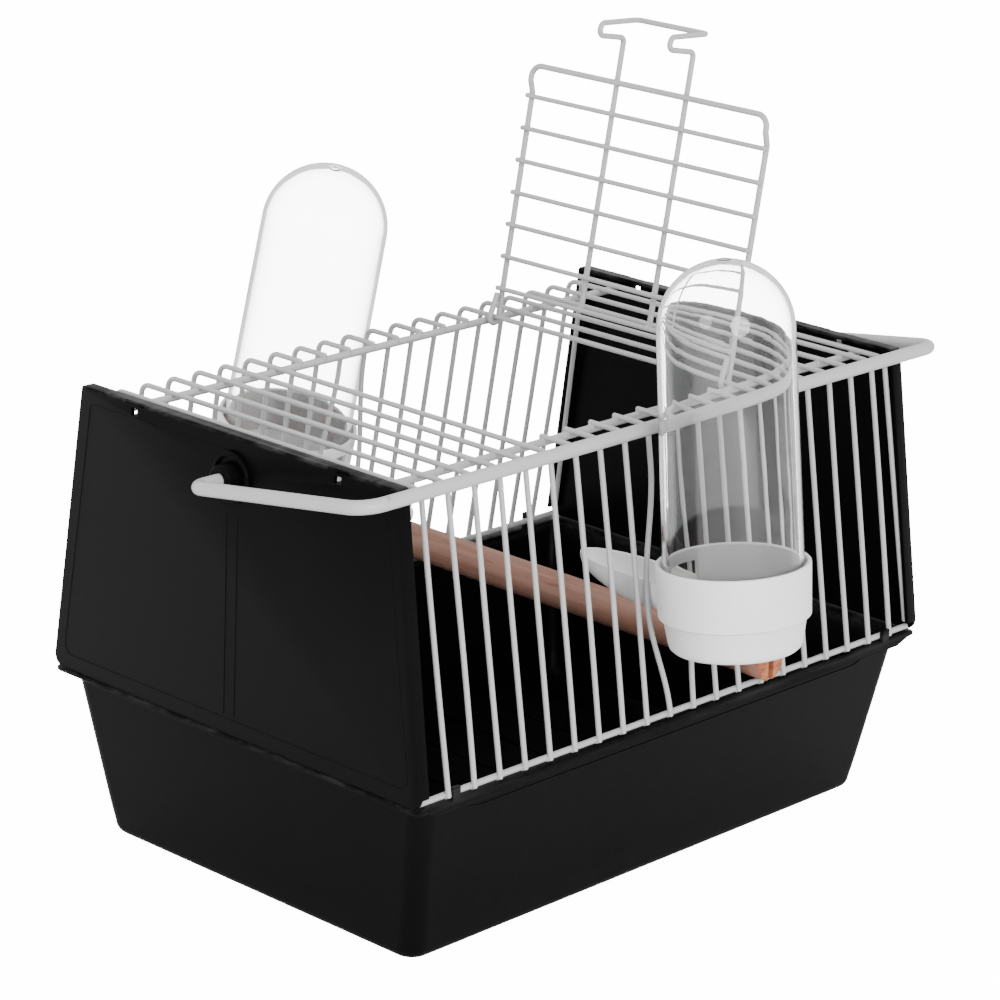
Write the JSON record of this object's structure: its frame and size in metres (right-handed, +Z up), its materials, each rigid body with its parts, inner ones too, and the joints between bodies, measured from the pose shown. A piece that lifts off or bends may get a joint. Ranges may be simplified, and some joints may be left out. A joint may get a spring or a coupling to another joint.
{
  "type": "small bird travel cage",
  "caption": "Small bird travel cage: deep black plastic tray and end panels, white wire body, roof door, swinging wire handle, two seed tubes with cups, and a wooden perch.",
  "frame": {"origin": "middle of the tray's underside", "axes": "+X along the cage, +Y from the side the handle's bar rests on to the other long side, +Z up"},
  "size_m": [0.2938, 0.2781, 0.2796],
  "materials": {
    "black_plastic": "semi-gloss",
    "coated_wire": "satin",
    "white_plastic": "satin",
    "clear_plastic": "clear",
    "beech": "sanded, unfinished"
  },
  "bodies": {
    "tray": {"tray": "black_plastic"},
    "cage": {"left_end_panel": "black_plastic", "right_end_panel": "black_plastic", "hoop_wire_00": "coated_wire", "hoop_wire_01": "coated_wire", "hoop_wire_02": "coated_wire", "hoop_wire_03": "coated_wire", "hoop_wire_04": "coated_wire", "hoop_wire_05": "coated_wire", "hoop_wire_06": "coated_wire", "hoop_wire_15": "coated_wire", "hoop_wire_16": "coated_wire", "hoop_wire_17": "coated_wire", "hoop_wire_18": "coated_wire", "hoop_wire_19": "coated_wire", "hoop_wire_20": "coated_wire", "hoop_wire_21": "coated_wire", "front_stub_wire_07": "coated_wire", "front_stub_wire_08": "coated_wire", "front_stub_wire_09": "coated_wire", "front_stub_wire_10": "coated_wire", "front_stub_wire_11": "coated_wire", "front_stub_wire_12": "coated_wire", "front_stub_wire_13": "coated_wire", "front_stub_wire_14": "coated_wire", "back_stub_wire_07": "coated_wire", "back_stub_wire_08": "coated_wire", "back_stub_wire_09": "coated_wire", "back_stub_wire_10": "coated_wire", "back_stub_wire_11": "coated_wire", "back_stub_wire_12": "coated_wire", "back_stub_wire_13": "coated_wire", "back_stub_wire_14": "coated_wire", "front_roof_rail": "coated_wire", "back_roof_rail": "coated_wire", "front_bottom_rail": "coated_wire", "back_bottom_rail": "coated_wire", "perch": "beech"},
    "door": {"door_frame": "coated_wire", "door_latch_wire": "coated_wire", "door_cross_wire_1": "coated_wire", "door_cross_wire_2": "coated_wire", "door_cross_wire_3": "coated_wire", "door_cross_wire_4": "coated_wire", "door_cross_wire_5": "coated_wire", "door_cross_wire_6": "coated_wire", "door_cross_wire_7": "coated_wire"},
    "handle": {"handle_bail": "coated_wire"},
    "front_feeder": {"front_feeder_cup": "white_plastic"},
    "front_tube": {"front_feeder_tube": "clear_plastic"},
    "back_feeder": {"back_feeder_cup": "white_plastic"},
    "back_tube": {"back_feeder_tube": "clear_plastic"}
  },
  "joints": [
    {"name": "cage_lift", "type": "slide", "parent": "tray", "child": "cage", "axis": [0, 0, 1], "range_m": [0, 0.12]},
    {"name": "door_hinge", "type": "hinge", "parent": "cage", "child": "door", "pos_m": [0.054, 0, 0.16365], "axis": [0, 1, 0], "range_deg": [-100.3, 0]},
    {"name": "handle_swing", "type": "hinge", "parent": "cage", "child": "handle", "pos_m": [0, 0, 0.153], "axis": [-1, 0, 0], "range_deg": [0, 30]},
    {"name": "front_feeder_pull", "type": "slide", "parent": "cage", "child": "front_feeder", "axis": [0, -1, 0], "range_m": [0, 0.07]},
    {"name": "back_feeder_pull", "type": "slide", "parent": "cage", "child": "back_feeder", "axis": [0, 1, 0], "range_m": [0, 0.07]},
    {"name": "front_tube_lift", "type": "slide", "parent": "front_feeder", "child": "front_tube", "axis": [0, 0.1011, 0.9949], "range_m": [0, 0.05]},
    {"name": "back_tube_lift", "type": "slide", "parent": "back_feeder", "child": "back_tube", "axis": [0, -0.2284, 0.9736], "range_m": [0, 0.05]}
  ]
}
